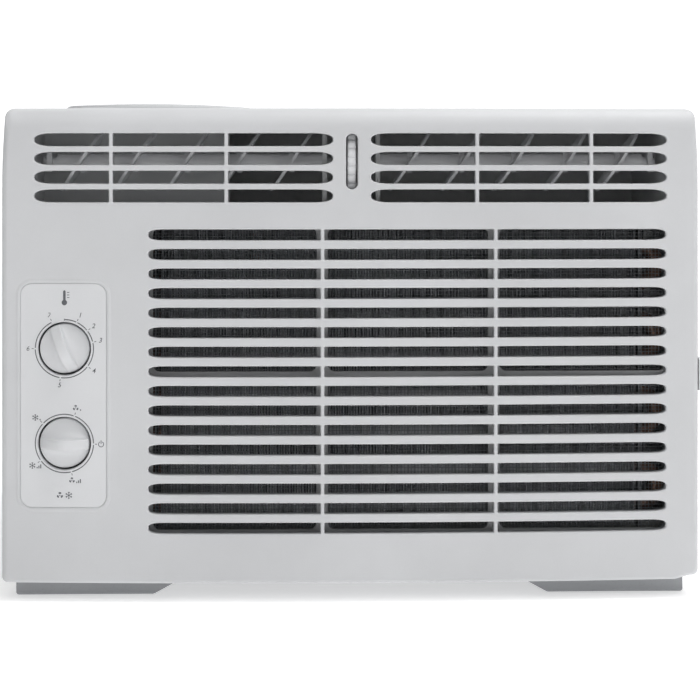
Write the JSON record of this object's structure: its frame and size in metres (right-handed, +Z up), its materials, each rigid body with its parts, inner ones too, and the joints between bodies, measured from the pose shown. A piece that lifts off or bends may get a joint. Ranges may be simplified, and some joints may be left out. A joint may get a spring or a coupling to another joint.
{
  "type": "window air conditioner",
  "caption": "Compact window air conditioner: slotted front panel with two dials, swing vanes, slide-out filter, sheet-metal chassis and louvred cabinet.",
  "frame": {"origin": "on the surface the base pan's runners stand on, under the middle of the object's footprint", "axes": "+Z up, +X to the right seen from the room, -Y towards the room (front panel), +Y outdoors"},
  "size_m": [0.4098, 0.3909, 0.29],
  "materials": {
    "panel_plastic": "satin moulded ABS with a fine texture",
    "plaque_plastic": "smooth satin insert",
    "knob_plastic": "satin silver grey",
    "filter_plastic": "matt",
    "filter_net": "fine woven net",
    "vane_plastic": "matt",
    "duct_plastic": "matt",
    "black_plastic": "satin",
    "black_rubber": "matt",
    "foam": "expanded foam beads",
    "zinc_steel": "zinc spangle",
    "pan_steel": "grey coated sheet",
    "cabinet_paint": "baked powder coat",
    "guard_paint": "coated wire",
    "shaft_steel": "turned",
    "copper": "drawn copper, slightly tarnished",
    "fin_aluminium": "thin rolled foil",
    "capacitor_can": "drawn can",
    "lamination_steel": "stacked laminations",
    "motor_paint": "gloss black",
    "compressor_paint": "black enamel"
  },
  "bodies": {
    "chassis": {"front_panel": "panel_plastic", "control_plaque": "plaque_plastic", "thermostat_body": "zinc_steel", "mode_switch_body": "black_plastic", "thermostat_bulb": "copper", "control_plate": "zinc_steel", "run_capacitor": "capacitor_can", "wire_harness": "black_rubber", "rotor_bearings": "vane_plastic", "discharge_duct": "duct_plastic", "scroll_housing": "duct_plastic", "inlet_ring": "duct_plastic", "bulkhead": "zinc_steel", "motor_front_bell": "motor_paint", "motor_rear_bell": "motor_paint", "motor_stator": "lamination_steel", "motor_bracket": "zinc_steel", "fan_shroud": "duct_plastic", "evaporator_fins": "fin_aluminium", "evaporator_tubes": "copper", "evaporator_end_plates": "zinc_steel", "drain_tray": "foam", "insulation_pads": "foam", "condenser_fins": "fin_aluminium", "condenser_tubes": "copper", "condenser_end_plates": "zinc_steel", "compressor_can": "compressor_paint", "compressor_cap": "compressor_paint", "compressor_core": "lamination_steel", "compressor_grommets": "black_rubber", "compressor_studs": "shaft_steel", "accumulator": "compressor_paint", "terminal_cover": "black_plastic", "suction_line": "copper", "discharge_line": "copper", "liquid_line": "copper", "filter_drier": "copper", "capillary_tube": "copper", "base_pan": "pan_steel", "cabinet": "cabinet_paint", "cabinet_screws": "shaft_steel", "coil_guard": "guard_paint", "cord_gland": "black_rubber"},
    "temperature_dial": {"temperature_knob": "knob_plastic", "thermostat_shaft": "shaft_steel"},
    "mode_dial": {"mode_knob": "knob_plastic", "mode_switch_shaft": "shaft_steel"},
    "air_swing_rotor": {"rotor_vanes_left": "vane_plastic", "rotor_vanes_right": "vane_plastic", "rotor_thumbwheel": "panel_plastic"},
    "air_filter": {"filter_frame": "filter_plastic", "filter_mesh": "filter_net"},
    "fan_set": {"motor_shaft": "shaft_steel", "motor_rotor": "lamination_steel", "blower_wheel": "black_plastic", "condenser_fan": "black_plastic", "hub_nuts": "shaft_steel"}
  },
  "joints": [
    {"name": "temperature_turn", "type": "hinge", "parent": "chassis", "child": "temperature_dial", "pos_m": [-0.1663, -0.18, 0.1469], "axis": [0, 1, 0], "range_deg": [-315, 0]},
    {"name": "mode_turn", "type": "hinge", "parent": "chassis", "child": "mode_dial", "pos_m": [-0.1663, -0.18, 0.0921], "axis": [0, 1, 0], "continuous": true},
    {"name": "air_swing", "type": "hinge", "parent": "chassis", "child": "air_swing_rotor", "pos_m": [0, -0.16, 0.2552], "axis": [1, 0, 0], "continuous": true},
    {"name": "filter_pull", "type": "slide", "parent": "chassis", "child": "air_filter", "axis": [1, 0, 0], "range_m": [0, 0.33]},
    {"name": "fan_spin", "type": "hinge", "parent": "chassis", "child": "fan_set", "pos_m": [0.045, 0, 0.122], "axis": [0, 1, 0], "continuous": true}
  ]
}
